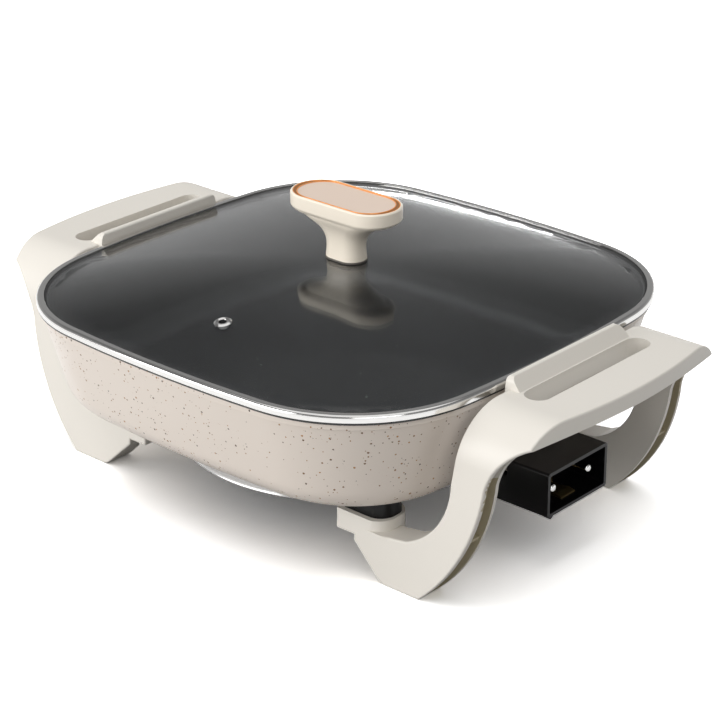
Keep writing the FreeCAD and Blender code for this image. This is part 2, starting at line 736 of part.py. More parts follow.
def channel_outline():
    """Front view of the hollow in a leg, open on the outer side, floored by the sole."""
    knee, calf, low = pan_side(WEB)
    far = out_at(GRIP_OUT + 2 * MOULDING, 0)
    over = HANDLE_TOP_Z + GUARD_RISE
    heel = out_at(HEEL_OUT, 0)
    step = out_at(ARM_STEP_OUT, ARM_STEP_Z)
    fall = (heel.x - step.x) / step.z
    thick = WEB * math.hypot(1, fall)
    well = CRADLE_SCREW_X + WASHER_R + SCREW_WELL_GAP + WEB
    wire = wire_through([
        out_at(INNER_TOP_OUT + WEB, over),
        knee,
        (calf, low),
        out_at(CRADLE_OUT, ARM_TOP_Z - WEB),
        Vector(well, 0, CRADLE_BOTTOM_Z),
        Vector(well, 0, (heel.x + thick - well) / fall),
        Vector(heel.x + thick - fall * SOLE, 0, SOLE),
        Vector(far.x, 0, SOLE),
        Vector(far.x, 0, over),
    ])
    return across_legs(wire)


def plan_prism(inset):
    """Plan of the bracket, whose outer edge bows along a shallow arc."""
    centre = GRIP_EDGE_X - GRIP_EDGE_RADIUS
    radius = GRIP_EDGE_RADIUS - inset
    reach = STRIP_FOOT_Y + MOULDING
    edge_x = centre + math.sqrt(radius ** 2 - reach ** 2)
    base = -SOLE
    wire = wire_through([
        Vector(edge_x, -reach, base),
        (Vector(centre + radius, 0, base), Vector(edge_x, reach, base)),
        Vector(CRADLE_X0 - 1, reach, base),
        Vector(CRADLE_X0 - 1, -reach, base),
    ])
    return Part.Face(wire).extrude(Vector(0, 0, HANDLE_TOP_Z + GUARD_RISE + 2 * SOLE))


def slot_prism(grow, z0, z1):
    end = (SLOT_WIDTH / 2 + grow) * 0.99
    x0 = SLOT_INNER_X - grow
    x1 = SLOT_INNER_X + SLOT_WIDTH + grow
    reach = SLOT_HALF + grow
    wire = rounded_wire([(x0, -reach, end), (x1, -reach, end), (x1, reach, end),
                         (x0, reach, end)], lambda x, y: Vector(x, y, z0))
    return Part.Face(wire).extrude(Vector(0, 0, z1 - z0))


def guard():
    """Upstand beside the lid's rim, with a slope down to the slot and a skirt below."""
    top = HANDLE_TOP_Z + GUARD_RISE
    low = HANDLE_TOP_Z - GUARD_DROP
    x0 = GUARD_INNER_X
    x1 = x0 + GUARD_THICK
    ends = GUARD_HALF + MOULDING
    wall = across_y([
        (x0, low),
        (x0, top, 1.4),
        (x1, top, 1.4),
        (SLOT_INNER_X, HANDLE_TOP_Z - 1.0),
        (SLOT_INNER_X, HANDLE_TOP_Z - MOULDING - 1.0),
        (x1, HANDLE_TOP_Z - 2 * MOULDING),
        (x1, low),
    ], -ends, ends)
    return wall.common(across_x([(-ends, low), (ends, low), (GUARD_HALF, top, 4.0),
                                 (-GUARD_HALF, top, 4.0)], x0 - 1, SLOT_INNER_X + 1))


def cradle_prism(side, inset, outer, z0, z1):
    """Plan of a cradle: straight along the leg's front wall, rounded at its other corners."""
    x0 = CRADLE_X0 + inset
    x1 = CRADLE_X1 - inset
    inner = CRADLE_INNER_Y + inset
    large = CRADLE_ROUND - inset
    wire = rounded_wire([(x0, inner, large), (x1, inner, large), (x1, outer, large),
                         (x0, outer, CRADLE_CORNER)], lambda x, y: Vector(x, side * y, z0))
    return Part.Face(wire).extrude(Vector(0, 0, z1 - z0))


def strip_edges(shape):
    """Sharp edges where the strip's outer surface meets its outline, apart from the soles'."""
    band = strip_band(0, CRADLE_X0 - MOULDING, GRIP_EDGE_X + MOULDING)
    outside = [face for face in band.Faces
               if abs(face.normalAt(0.5, 0.5).x) < 0.5 and face.BoundBox.ZMax > SOLE]
    edges = []
    for edge in shape.Edges:
        box = edge.BoundBox
        if box.ZMax < SOLE or (box.XMax < CRADLE_X1 + 1 and box.ZMin > ARM_TOP_Z - 0.1):
            continue
        first, last = edge.ParameterRange
        points = [edge.valueAt(first + (last - first) * share) for share in (0.1, 0.5, 0.9)]
        gaps = [min(face.distToShape(Part.Vertex(point))[0] for face in outside)
                for point in points]
        if max(gaps) > 0.01:
            continue
        normals = []
        for face in shape.Faces:
            if any(other.isSame(edge) for other in face.Edges):
                normals.append(face.normalAt(*face.Surface.parameter(points[1])))
        if len(normals) == 2 and normals[0].dot(normals[1]) < 0.8:
            edges.append(edge)
    return edges


def leg_pair(shape, hollow):
    """Both legs as channels: the strip in front, the web on the pan's side, a wall behind."""
    behind = BACK_Y + BACK_WALL
    x0 = CRADLE_X0 - 1
    x1 = GRIP_EDGE_X + MOULDING
    low = -SOLE
    high = HANDLE_TOP_Z + 1
    legs = shape.cut(block(x0, x1, -BACK_Y, BACK_Y, low, high))
    channel = hollow.common(channel_outline())
    return legs.cut(channel.cut(block(x0, x1, -behind, behind, low, high)))


def rib_pair(shape):
    """Cross rib in each channel, set back from its open side."""
    x0 = CRADLE_X0
    x1 = GRIP_EDGE_X
    plate = block(x0, x1, -STRIP_FOOT_Y, STRIP_FOOT_Y, RIB_Z, RIB_Z + RIB)
    ribs = shape.common(plate).cut(block(x0, x1, -BACK_Y, BACK_Y, RIB_Z - 1, RIB_Z + RIB + 1))
    outline = leg_outline()
    outline.translate(Vector(-RIB_SETBACK, 0, 0))
    return ribs.common(outline)


def make_bracket():
    """One moulding at +X: slotted handle, two channel legs and two cradles.

    Its pieces are fused one by one: their faces are left as they meet, because merging the
    coplanar ones loses part of the moulding.
    """
    x0 = CRADLE_X0 - 1
    x1 = GRIP_EDGE_X + 1
    hollow = strip_band(MOULDING, x0 - 1, x1 + 1)
    band = strip_band(0, x0, x1)
    shape = band.common(leg_outline()).common(plan_prism(0)).removeSplitter()
    shape = shape.makeFillet(EDGE_ROUND, strip_edges(shape))
    pieces = [shape.cut(plan_prism(MOULDING)), leg_pair(shape, hollow), rib_pair(shape), guard()]
    pieces.append(slot_prism(COAMING, HANDLE_TOP_Z - COAMING_DEPTH, HANDLE_TOP_Z - 0.5))
    for side in (-1, 1):
        cradle = cradle_prism(side, 0, CRADLE_FRONT_Y, CRADLE_BOTTOM_Z, CRADLE_TOP_Z)
        pieces.append(cradle.common(band))
    bracket = shape.cut(hollow)
    for piece in pieces:
        bracket = bracket.fuse(piece)
    cuts = [slot_prism(0, HANDLE_TOP_Z - 2 * COAMING_DEPTH, HANDLE_TOP_Z + COAMING_DEPTH)]
    floor = CRADLE_BOTTOM_Z + CRADLE_FLOOR
    for side in (-1, 1):
        x = CRADLE_SCREW_X
        y = side * CRADLE_SCREW_Y
        cuts.append(cradle_prism(side, CRADLE_WALL, CRADLE_OUTER_Y, floor, PAN_BOTTOM_Z))
        cuts.append(post(BLOCK_BORE, 0, floor + 1, x, y))
        cuts.append(post(WASHER_R + SCREW_WELL_GAP, -1, CRADLE_BOTTOM_Z, x, y))
    for cut in cuts:
        bracket = bracket.cut(cut)
    return bracket


def mirrored(shape):
    return shape.mirror(ORIGIN, Vector(1, 0, 0))


def make_block(x_side, y_side):
    """Black heat-proof block that stands in a cradle and carries the pan on a narrower neck."""
    inset = CRADLE_WALL + BLOCK_PLAY
    neck_z = PAN_BOTTOM_Z - BLOCK_NECK_HEIGHT
    outer = CRADLE_OUTER_Y - BLOCK_PLAY
    body = cradle_prism(y_side, inset, outer, CRADLE_BOTTOM_Z + CRADLE_FLOOR, neck_z)
    neck = cradle_prism(y_side, inset + BLOCK_NECK, outer - BLOCK_NECK, neck_z, PAN_BOTTOM_Z)
    body = body.fuse(neck)
    y = y_side * CRADLE_SCREW_Y
    body = body.cut(post(BLOCK_BORE, CRADLE_BOTTOM_Z, PAN_BOTTOM_Z + 1, CRADLE_SCREW_X, y))
    return body if x_side > 0 else mirrored(body)


def make_bracket_screws():
    screws = []
    for side in (-1, 1):
        for x, y in bracket_screw_places(side):
            screws.append(screw(x, y, CRADLE_BOTTOM_Z - WASHER, PAN_BOTTOM_Z + SCREW_BITE, SCREW_R,
                                SCREW_HEAD_R, SCREW_HEAD))
    return Part.makeCompound(screws)


def make_bracket_washers():
    rings = []
    for side in (-1, 1):
        for x, y in bracket_screw_places(side):
            ring = post(WASHER_R, CRADLE_BOTTOM_Z - WASHER, CRADLE_BOTTOM_Z, x, y)
            rings.append(ring.cut(post(SCREW_R + 0.2, 0, PAN_BOTTOM_Z, x, y)))
    return Part.makeCompound(rings)


# Lid

def dome_z(scale):
    return GLASS_TOP_Z + DOME_RISE * (1 - scale ** 2) / (1 - DOME_CAP ** 2)


def dome_solid(drop, inset):
    wires = []
    for scale in (1.0, 0.9, 0.75, 0.58, 0.4, 0.22, DOME_CAP):
        wires.append(outline_wire(dome_z(scale) - drop, inset, scale))
    return Part.makeLoft(wires, True, False)


def vent_slope():
    scale = -VENT_Y / (OUTLINE_HALF - DOME_INSET)
    rise = DOME_RISE / (1 - DOME_CAP ** 2)
    return 2 * rise * scale / (OUTLINE_HALF - DOME_INSET)


def at_vent(shape):
    """Set a shape drawn about the origin on the sloping glass at the vent."""
    shape.rotate(ORIGIN, Vector(1, 0, 0), math.degrees(math.atan(vent_slope())))
    scale = -VENT_Y / (OUTLINE_HALF - DOME_INSET)
    shape.translate(Vector(0, VENT_Y, dome_z(scale)))
    return shape


def make_glass():
    plate = outline_prism(GLASS_BOTTOM_Z, GLASS_TOP_Z, GLASS_EDGE_INSET)
    glass = fused([plate, dome_solid(0, DOME_INSET)])
    glass = glass.cut(dome_solid(GLASS, DOME_INSET + 0.5))
    glass = glass.cut(post(GLASS_BORE, GLASS_BOTTOM_Z, CROWN_Z + 1))
    vent_hole = at_vent(post(VENT_TUBE + 0.15, -GLASS - 3, 3))
    return glass.cut(vent_hole)


def make_rim():
    """Rolled steel band that grips the edge of the glass."""
    t = RIM_SHEET
    low = RIM_BOTTOM_Z
    top = RIM_TOP_Z
    profile = [
        (RIM_FLANGE + 1.5, low),
        (0.3, low, 0.5),
        (0, low + 1.2, 0.8),
        (0, top, RIM_BEAD),
        (RIM_FLANGE, top, 0.2),
        (RIM_FLANGE, top - t),
        (GLASS_EDGE_INSET, top - t),
        (GLASS_EDGE_INSET, low + t),
        (RIM_FLANGE + 1.5, low + t),
    ]
    return outline_ring(profile)


def make_vent():
    t = VENT_FLANGE_THICK
    profile = [
        (VENT_BORE, t * 0.6, 0.3),
        (VENT_FLANGE - 1.2, t, 0.5),
        (VENT_FLANGE, 0.15),
        (VENT_TUBE, 0.15),
        (VENT_TUBE, -GLASS - 0.15),
        (VENT_FLANGE - 0.6, -GLASS - 0.15),
        (VENT_FLANGE - 0.9, -GLASS - 0.8, 0.3),
        (VENT_BORE, -GLASS - 0.8),
    ]
    return at_vent(turned(profile))


def make_knob():
    bar_low = KNOB_TOP_Z - KNOB_BAR
    base = KNOB_BASE_Z
    s0 = NECK_HALF_STRAIGHT
    w0 = NECK_HALF_WIDTH
    s1 = KNOB_HALF_STRAIGHT
    w1 = KNOB_HALF_WIDTH
    neck = [
        (base, s0, w0),
        (base + 9, s0, w0 - 0.3),
        (base + 15, s0 + 1.4, w0 + 0.8),
        (base + 20, s0 + 5.5, w0 + 3.2),
        (bar_low + 1.5, s1 - 2.5, w1 - 3.0),
    ]
    neck = Part.makeLoft([stadium_wire(s, w, z) for z, s, w in neck], True, False)
    under = [(bar_low, s1 - 2.5, w1 - 3.0), (bar_low + 1.2, s1 - 0.8, w1 - 1.2),
             (bar_low + 3.2, s1, w1)]
    under = Part.makeLoft([stadium_wire(s, w, z) for z, s, w in under], True, False)
    bar = stadium(s1, w1, bar_low + 3.2, KNOB_TOP_Z - 0.7)
    crown = Part.makeLoft([stadium_wire(s1, w1, KNOB_TOP_Z - 0.7),
                           stadium_wire(s1, w1 - 0.7, KNOB_TOP_Z)], True, True)
    knob = fused([neck, under, bar, crown])
    groove = stadium(s1, w1 - RING_MARGIN, KNOB_TOP_Z - RING_DEPTH, KNOB_TOP_Z + 1)
    seat = stadium(s1 - RING_END + RING_SIDE, w1 - RING_MARGIN - RING_SIDE,
                   KNOB_TOP_Z - RING_DEPTH - INSET_DEPTH, KNOB_TOP_Z + 1)
    knob = knob.cut(groove).cut(seat)
    return knob.cut(post(INSERT_R, base - 1, base + INSERT_LENGTH))


def make_knob_ring():
    ring = stadium(KNOB_HALF_STRAIGHT, KNOB_HALF_WIDTH - RING_MARGIN,
                   KNOB_TOP_Z - RING_DEPTH, KNOB_TOP_Z)
    hole = stadium(KNOB_HALF_STRAIGHT - RING_END + RING_SIDE,
                   KNOB_HALF_WIDTH - RING_MARGIN - RING_SIDE,
                   KNOB_TOP_Z - RING_DEPTH - 1, KNOB_TOP_Z + 1)
    return ring.cut(hole)


def make_knob_inset():
    return stadium(KNOB_HALF_STRAIGHT - RING_END + RING_SIDE,
                   KNOB_HALF_WIDTH - RING_MARGIN - RING_SIDE,
                   KNOB_TOP_Z - RING_DEPTH - INSET_DEPTH, KNOB_TOP_Z - 0.4)


def make_knob_gasket():
    pad = stadium(NECK_HALF_STRAIGHT, NECK_HALF_WIDTH + 0.4, CROWN_Z, KNOB_BASE_Z)
    return pad.cut(post(GLASS_BORE, CROWN_Z - 1, KNOB_BASE_Z + 1))


def make_knob_insert():
    tube = post(INSERT_R, KNOB_BASE_Z, KNOB_BASE_Z + INSERT_LENGTH)
    return tube.cut(post(KNOB_SCREW_R, KNOB_BASE_Z - 1, KNOB_BASE_Z + INSERT_LENGTH - 2))


def under_knob(radius, z0, z1):
    return post(radius, z0, z1).cut(post(KNOB_SCREW_R + 0.15, z0 - 1, z1 + 1))


def build():
    save("pan", make_pan())
    save("heating_element", make_element())
    save("element_clamps", make_clamps())
    save("clamp_screws", make_clamp_screws())
    save("heater_cover", make_cover())
    save("cover_washer", make_cover_washer())
    save("cover_screw", make_cover_screw())
    save("socket_housing", make_socket_housing())
    save("contact_pin_front", make_pin(-1))
    save("contact_pin_rear", make_pin(1))
    save("probe_sleeve", make_probe_sleeve())
    save("earth_contact", make_earth_strip())
    save("socket_screws", make_socket_screws())
    bracket = make_bracket()
    save("right_bracket", bracket)
    save("left_bracket", mirrored(bracket))
    for side, side_name in ((1, "right"), (-1, "left")):
        for end, end_name in ((-1, "front"), (1, "rear")):
            save("spacer_" + end_name + "_" + side_name, make_block(side, end))
    save("bracket_screws", make_bracket_screws())
    save("bracket_washers", make_bracket_washers())
    save("lid_glass", make_glass())
    save("lid_rim", make_rim())
    save("vent_grommet", make_vent())
    save("knob_body", make_knob())
    save("knob_ring", make_knob_ring())
    save("knob_inset", make_knob_inset())
    save("knob_gasket", make_knob_gasket())
    save("knob_insert", make_knob_insert())
    dome_under = CROWN_Z - GLASS
    save("knob_seal", under_knob(KNOB_SEAL_R, dome_under - KNOB_WASHER, dome_under))
    save("knob_washer", under_knob(KNOB_WASHER_R, dome_under - 2 * KNOB_WASHER,
                                   dome_under - KNOB_WASHER))
    save("knob_screw", screw(0, 0, dome_under - 2 * KNOB_WASHER, KNOB_BASE_Z + INSERT_LENGTH - 3,
                             KNOB_SCREW_R, KNOB_SCREW_HEAD_R, KNOB_SCREW_HEAD))


build()
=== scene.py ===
import json
import math

import bpy
from mathutils import Matrix, Vector

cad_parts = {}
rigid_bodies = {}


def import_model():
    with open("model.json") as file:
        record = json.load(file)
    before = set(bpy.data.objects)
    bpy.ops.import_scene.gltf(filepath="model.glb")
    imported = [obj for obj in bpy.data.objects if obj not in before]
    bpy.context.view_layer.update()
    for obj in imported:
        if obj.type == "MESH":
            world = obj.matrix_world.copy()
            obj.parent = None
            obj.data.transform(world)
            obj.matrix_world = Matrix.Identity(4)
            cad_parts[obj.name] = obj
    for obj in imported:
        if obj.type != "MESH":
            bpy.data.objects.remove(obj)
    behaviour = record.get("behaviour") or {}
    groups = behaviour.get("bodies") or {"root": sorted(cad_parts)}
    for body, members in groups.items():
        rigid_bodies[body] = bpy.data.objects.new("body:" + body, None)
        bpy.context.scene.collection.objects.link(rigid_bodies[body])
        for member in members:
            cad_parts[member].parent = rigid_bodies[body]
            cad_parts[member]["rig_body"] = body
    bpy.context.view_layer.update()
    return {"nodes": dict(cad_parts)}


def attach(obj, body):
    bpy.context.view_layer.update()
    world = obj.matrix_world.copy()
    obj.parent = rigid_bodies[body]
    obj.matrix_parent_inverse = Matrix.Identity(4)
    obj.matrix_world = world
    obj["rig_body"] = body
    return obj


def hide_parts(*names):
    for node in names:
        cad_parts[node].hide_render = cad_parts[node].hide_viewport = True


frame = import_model()


# The pan is a die-cast aluminium tub. Outside it has a satin ceramic coat, cream with brown
# and gold specks sprayed into it; inside it has a dark grey non-stick coat with pale flecks.

def linear(code):
    """Colour written as an sRGB hex code, as the linear RGBA that a shader takes."""
    parts = [int(code[i:i + 2], 16) / 255 for i in (0, 2, 4)]
    return tuple([p / 12.92 if p <= 0.04045 else ((p + 0.055) / 1.055) ** 2.4
                  for p in parts] + [1.0])


def add(material, kind, links=None, **settings):
    """Adds a node. settings go on its properties or sockets, links joins its inputs."""
    node = material.node_tree.nodes.new(kind)
    for name, value in settings.items():
        if hasattr(node, name):
            setattr(node, name, value)
        else:
            node.inputs[name.replace("_", " ")].default_value = value
    for name, source in (links or {}).items():
        if hasattr(source, "links"):
            material.node_tree.links.new(source, node.inputs[name])
        else:
            node.inputs[name].default_value = source
    return node


def feed(material, node, socket, source):
    """Joins source to a socket of a node that the material has from the start."""
    material.node_tree.links.new(source, material.node_tree.nodes[node].inputs[socket])


def start_material(name, **settings):
    """New material, with its principled shader set."""
    material = bpy.data.materials.new(name)
    material.use_nodes = True
    shader = material.node_tree.nodes["Principled BSDF"]
    for key, value in settings.items():
        shader.inputs[key.replace("_", " ")].default_value = value
    return material


def roughen(material, per_metre, height, detail=2.0):
    """Fine unevenness of a real surface: its pitch as a scale per metre, its height in metres."""
    place = add(material, "ShaderNodeTexCoord").outputs["Object"]
    grain = add(material, "ShaderNodeTexNoise", {"Vector": place}, Scale=per_metre, Detail=detail)
    bump = add(material, "ShaderNodeBump", {"Height": grain.outputs["Fac"]}, Strength=1.0,
               Distance=height)
    feed(material, "Principled BSDF", "Normal", bump.outputs["Normal"])


# The colour sockets of a Mix node, which share their names with those for numbers.
MIX_A, MIX_B, MIX_OUT = 6, 7, 2

# Specks fall thicker and thinner, in patches some 45 mm wide, and large ones are rare.
PATCHES_PER_METRE = 22.0
THINNEST, THICKEST = 0.2, 0.8
RARITY_OF_LARGE = 2.5


def specks(material, base, dark, light, per_metre, small, large, ragged):
    """Round specks of two colours over a base colour, at most one to a cell.

    Their radii go from small to large, in cells, and ragged breaks up their edges.
    """
    place = add(material, "ShaderNodeTexCoord").outputs["Object"]
    cells = add(material, "ShaderNodeTexVoronoi", {"Vector": place}, Scale=per_metre)
    edge = add(material, "ShaderNodeTexNoise", {"Vector": place}, Scale=per_metre * 4, Detail=1.0)
    patch = add(material, "ShaderNodeTexNoise", {"Vector": place}, Scale=PATCHES_PER_METRE,
                Detail=1.0)
    lot = add(material, "ShaderNodeSeparateColor", {"Color": cells.outputs["Color"]})
    crowd = add(material, "ShaderNodeMapRange",
                {"Value": patch.outputs["Fac"], "From Min": 0.35, "From Max": 0.6,
                 "To Min": THINNEST, "To Max": THICKEST})
    present = add(material, "ShaderNodeMath", {0: crowd.outputs[0], 1: lot.outputs["Blue"]},
                  operation="GREATER_THAN")
    rare = add(material, "ShaderNodeMath", {0: lot.outputs["Red"], 1: RARITY_OF_LARGE},
               operation="POWER")
    size = add(material, "ShaderNodeMapRange",
               {"Value": rare.outputs[0], "To Min": small, "To Max": large})
    limit = add(material, "ShaderNodeMath", {0: size.outputs[0], 1: present.outputs[0]},
                operation="MULTIPLY")
    reach = add(material, "ShaderNodeMath",
                {0: edge.outputs["Fac"], 1: ragged, 2: cells.outputs["Distance"]},
                operation="MULTIPLY_ADD")
    mask = add(material, "ShaderNodeMath", {0: reach.outputs[0], 1: limit.outputs[0]},
               operation="LESS_THAN")
    tint = add(material, "ShaderNodeMix",
               {"Factor": lot.outputs["Green"], MIX_A: linear(dark), MIX_B: linear(light)},
               data_type="RGBA")
    coat = add(material, "ShaderNodeMix",
               {"Factor": mask.outputs[0], MIX_A: linear(base), MIX_B: tint.outputs[MIX_OUT]},
               data_type="RGBA")
    feed(material, "Principled BSDF", "Base Color", coat.outputs[MIX_OUT])


WELD_REACH = 0.000004
SMOOTH_UP_TO = math.radians(32)
SOFTEN_FROM = math.radians(50)


def welded(node, name, slot, *materials, soft=0, mode="FACE_AREA"):
    """The CAD node's shape as one closed, smooth-shaded mesh that stands for the node.

    soft rounds its sharp edges by that many metres, and mode says what makes a face weigh
    more in the shading.
    """
    mesh = frame["nodes"][node].data.copy()
    piece = bpy.data.objects.new(name, mesh)
    bpy.context.scene.collection.objects.link(piece)
    bpy.ops.object.select_all(action="DESELECT")
    piece.select_set(True)
    bpy.context.view_layer.objects.active = piece
    if mesh.has_custom_normals:
        bpy.ops.mesh.customdata_custom_splitnormals_clear()
    bpy.ops.object.mode_set(mode="EDIT")
    bpy.ops.mesh.select_all(action="SELECT")
    bpy.ops.mesh.remove_doubles(threshold=WELD_REACH)
    bpy.ops.object.mode_set(mode="OBJECT")
    if soft:
        round_off = piece.modifiers.new("soft_edges", "BEVEL")
        round_off.width = soft
        round_off.segments = 2
        round_off.limit_method = "ANGLE"
        round_off.angle_limit = SOFTEN_FROM
        bpy.ops.object.modifier_apply(modifier=round_off.name)
    bpy.ops.object.shade_smooth_by_angle(angle=SMOOTH_UP_TO)
    weigh = piece.modifiers.new("even_faces", "WEIGHTED_NORMAL")
    weigh.keep_sharp = True
    weigh.mode = mode
    bpy.ops.object.modifier_apply(modifier=weigh.name)
    mesh.materials.clear()
    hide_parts(node)
    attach(piece, frame["nodes"][node]["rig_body"])
    for material in materials:
        mesh.materials.append(material)
    return piece


# Sprayed ceramic: cream enamel with specks 0.3 to 1.3 mm across, brown to gold, under a thin
# clear skin. It shines softly, and the light breaks a little on its orange peel, whose bumps
# lie 1.4 mm apart.
cream_coat = start_material(
    "sprayed_ceramic_cream", Roughness=0.34, Coat_Weight=0.2, Coat_Roughness=0.15)
specks(cream_coat, base="DED3C8", dark="3E2C1E", light="A87634", per_metre=460.0,
       small=0.22, large=0.42, ragged=0.22)
roughen(cream_coat, per_metre=700.0, height=0.000012)

# Baked non-stick coat with pale flecks, its pores 1.1 mm apart: near black and dull, so it
# shows little but a broad pale sheen.
dark_coat = start_material("baked_non_stick_dark", Roughness=0.4, Coat_Weight=0.1)
specks(dark_coat, base="2E2F33", dark="5C5D60", light="B8B8B6", per_metre=120.0,
       small=0.02, large=0.1, ragged=0.02)
roughen(dark_coat, per_metre=900.0, height=0.00001)

# The dark coat lies on all above the pan's floor that faces up or towards the middle.
PAN_FLOOR_Z = 0.0525
FACING_UP = 0.3
FACING_MIDDLE = -0.2

pan = welded("pan", "pan_tub", "pan_coating", cream_coat, dark_coat)
for face in pan.data.polygons:
    outward = Vector((face.center.x, face.center.y, 0)).normalized()
    inside = face.normal.z > FACING_UP or face.normal.dot(outward) < FACING_MIDDLE
    if inside and face.center.z > PAN_FLOOR_Z:
        face.material_index = 1


# The heating element is one bent steel tube, held up against the pan by three spring strips
# with a screw each. Between its ends a thin steel sleeve takes the heat control's probe.

# Steel tube oxidised by heat: brownish grey and dull, without a clear mirror image.
dull_sheath = start_material(
    "oxidised_steel_tube", Base_Color=linear("6F6A64"), Metallic=1.0, Roughness=0.45)
welded("heating_element", "element_tube", "element_steel", dull_sheath)

# Zinc-plated steel: cool grey with a soft, broad highlight.
zinc = start_material(
    "zinc_plated_steel", Base_Color=linear("B9BABB"), Metallic=1.0, Roughness=0.3)
for node in ("element_clamps", "clamp_screws", "probe_sleeve"):
    welded(node, node + "_zinc", "steel", zinc)


# The heater cover is a dish pressed from bright aluminium sheet, 1 mm thick. Its edge stands
# against the pan round the element, and one screw in its pushed-in middle holds it.

# Bright rolled aluminium, with waves some 17 mm long from the press: it mirrors the white
# ground and the dark pan in broad smeared bands.
bright_sheet = start_material(
    "bright_aluminium_sheet", Base_Color=linear("BCBBBA"), Metallic=0.7, Roughness=0.22)
roughen(bright_sheet, per_metre=60.0, height=0.0002, detail=0.0)
welded("heater_cover", "heater_cover_dish", "cover_aluminium", bright_sheet)
for node in ("cover_screw", "cover_washer"):
    welded(node, node + "_zinc", "steel", zinc)


# The socket is a box moulded in glossy black plastic, open on its outer side, with two plated
# pins and an earth strip in its mouth. Two screws hold it up against the pan.

# Black phenolic moulding: deep black, with a narrow shine along its softened edges.
black_gloss = start_material(
    "black_gloss_plastic", Base_Color=linear("0A0A0B"), Roughness=0.22,
    Specular_IOR_Level=0.3)
SOFT_EDGE = 0.0004
welded("socket_housing", "socket_box", "black_gloss", black_gloss, soft=SOFT_EDGE)
welded("socket_screws", "socket_screws_zinc", "steel", zinc)

# Nickel plate on the pins: a bright, sharp point of light in the dark mouth.
plated = start_material(
    "nickel_plated_pin", Base_Color=linear("E2E2E0"), Metallic=1.0, Roughness=0.12)
for end in ("front", "rear"):
    welded("contact_pin_" + end, "socket_pin_" + end, "pin_metal", plated)

# Brass dulled by air: brownish yellow, with little shine.
brass = start_material(
    "dulled_brass", Base_Color=linear("6E5F3F"), Metallic=1.0, Roughness=0.45)
welded("earth_contact", "earth_contact_brass", "contact_brass", brass)


# The brackets are moulded in a cream heat-proof plastic with a fine satin surface. Each is
# screwed up through its two cradles and the black blocks in them.

# Cream plastic with a spark-eroded grain: even and warm, with a wide, weak highlight. The
# grain is drawn 0.4 mm wide, coarser than the real 0.1 mm, so that it shows.
cream_moulding = start_material(
    "satin_moulded_plastic", Base_Color=linear("E5E0D7"), Roughness=0.42)
roughen(cream_moulding, per_metre=2500.0, height=0.000006)

# Inside the leg channels the moulding is duller, and its colour is painted darker and a little
# yellower: painted shade for the shade that falls in the channels.
painted_channel_shade = start_material(
    "moulding_painted_channel_shade", Base_Color=linear("BDB296"), Roughness=0.6)

# A channel lies in each leg between a front wall, which leans back as it rises, and a back
# wall; its faces get the painted shade. Left out are the top of the cradle's arm and the faces
# turned to the pan.
SOLE_Z = 0.001
CHANNEL_TOP_Z = 0.081
CRADLE_END_X = 0.1062
BACK_WALL_Y = 0.0772
FRONT_WALL_Y = 0.0907
FRONT_WALL_LEAN = 0.0780
ARM_LOW_Z = 0.0265
ARM_HIGH_Z = 0.040
ARM_FACING_UP = 0.5
FACING_PAN = -0.3

for side, outwards in (("right", 1), ("left", -1)):
    bracket = welded(side + "_bracket", side + "_leg_handle", "cream_moulding",
                     cream_moulding, painted_channel_shade)
    for face in bracket.data.polygons:
        centre = face.center
        in_leg = SOLE_Z < centre.z < CHANNEL_TOP_Z and abs(centre.x) > CRADLE_END_X
        front_wall = FRONT_WALL_Y - FRONT_WALL_LEAN * centre.z
        between_walls = BACK_WALL_Y < abs(centre.y) < front_wall
        arm_top = face.normal.z > ARM_FACING_UP and ARM_LOW_Z < centre.z < ARM_HIGH_Z
        to_pan = face.normal.x * outwards <= FACING_PAN
        if in_leg and between_walls and not arm_top and not to_pan:
            face.material_index = 1

# Heat-proof black moulding: it takes in nearly all light, and only its round corners shine.
black_moulding = start_material(
    "black_heat_proof_moulding", Base_Color=linear("060607"), Roughness=0.3,
    Specular_IOR_Level=0.25)
for corner in ("front_right", "rear_right", "front_left", "rear_left"):
    welded("spacer_" + corner, "leg_spacer_" + corner, "black_moulding", black_moulding,
           soft=SOFT_EDGE)
for node in ("bracket_screws", "bracket_washers"):
    welded(node, node + "_zinc", "steel", zinc)


# The lid is a domed pane of clear tempered glass, pressed to shape, with a rolled stainless
# band round its edge and a steel eyelet in it as steam vent.

# Clear tempered glass, faintly uneven: the dark pan shows through, and the studio lies over
# it as a soft grey reflection.
clear_glass = start_material(
    "tempered_glass", Base_Color=linear("F4F6F6"), Roughness=0.04, IOR=1.5,
    Transmission_Weight=1.0)
glass = welded("lid_glass", "glass_pane", "lid_glass", clear_glass, mode="CORNER_ANGLE")

# Polished stainless steel: white and dark lines side by side, as it mirrors lamp and room.
stainless = start_material(
    "polished_stainless", Base_Color=linear("E0DFDD"), Metallic=1.0, Roughness=0.13)
welded("vent_grommet", "steam_vent", "rim_steel", stainless)

# The band's lower edge is painted black, as painted shadow of the gap between band and pan, so a
# dark line runs round under the lid.
painted_gap_shadow = start_material(
    "rim_painted_gap_shadow", Base_Color=linear("0A0A0B"), Roughness=0.35)
PAINTED_SHADOW_Z = 0.1104
rim = welded("lid_rim", "lid_band", "rim_steel", stainless, painted_gap_shadow)
for face in rim.data.polygons:
    if face.center.z < PAINTED_SHADOW_Z:
        face.material_index = 1


# The knob is an ivory moulding, with a copper-coloured ring and a plain beige plate let into
# its top. A screw and washer under the glass hold it by a brass insert, and a thin gasket and
# a seal lie against the glass.

# Ivory moulding with a polished face: warm, with a clear shine along its upper edge.
ivory = start_material("ivory_gloss_plastic", Base_Color=linear("FDF3E2"), Roughness=0.3)
welded("knob_body", "knob_handle", "ivory_gloss", ivory)

# Copper-coloured lacquer on plastic: orange, with a warm metallic shine.
copper = start_material(
    "copper_coloured_plastic", Base_Color=linear("F8A65C"), Metallic=0.3, Roughness=0.3)
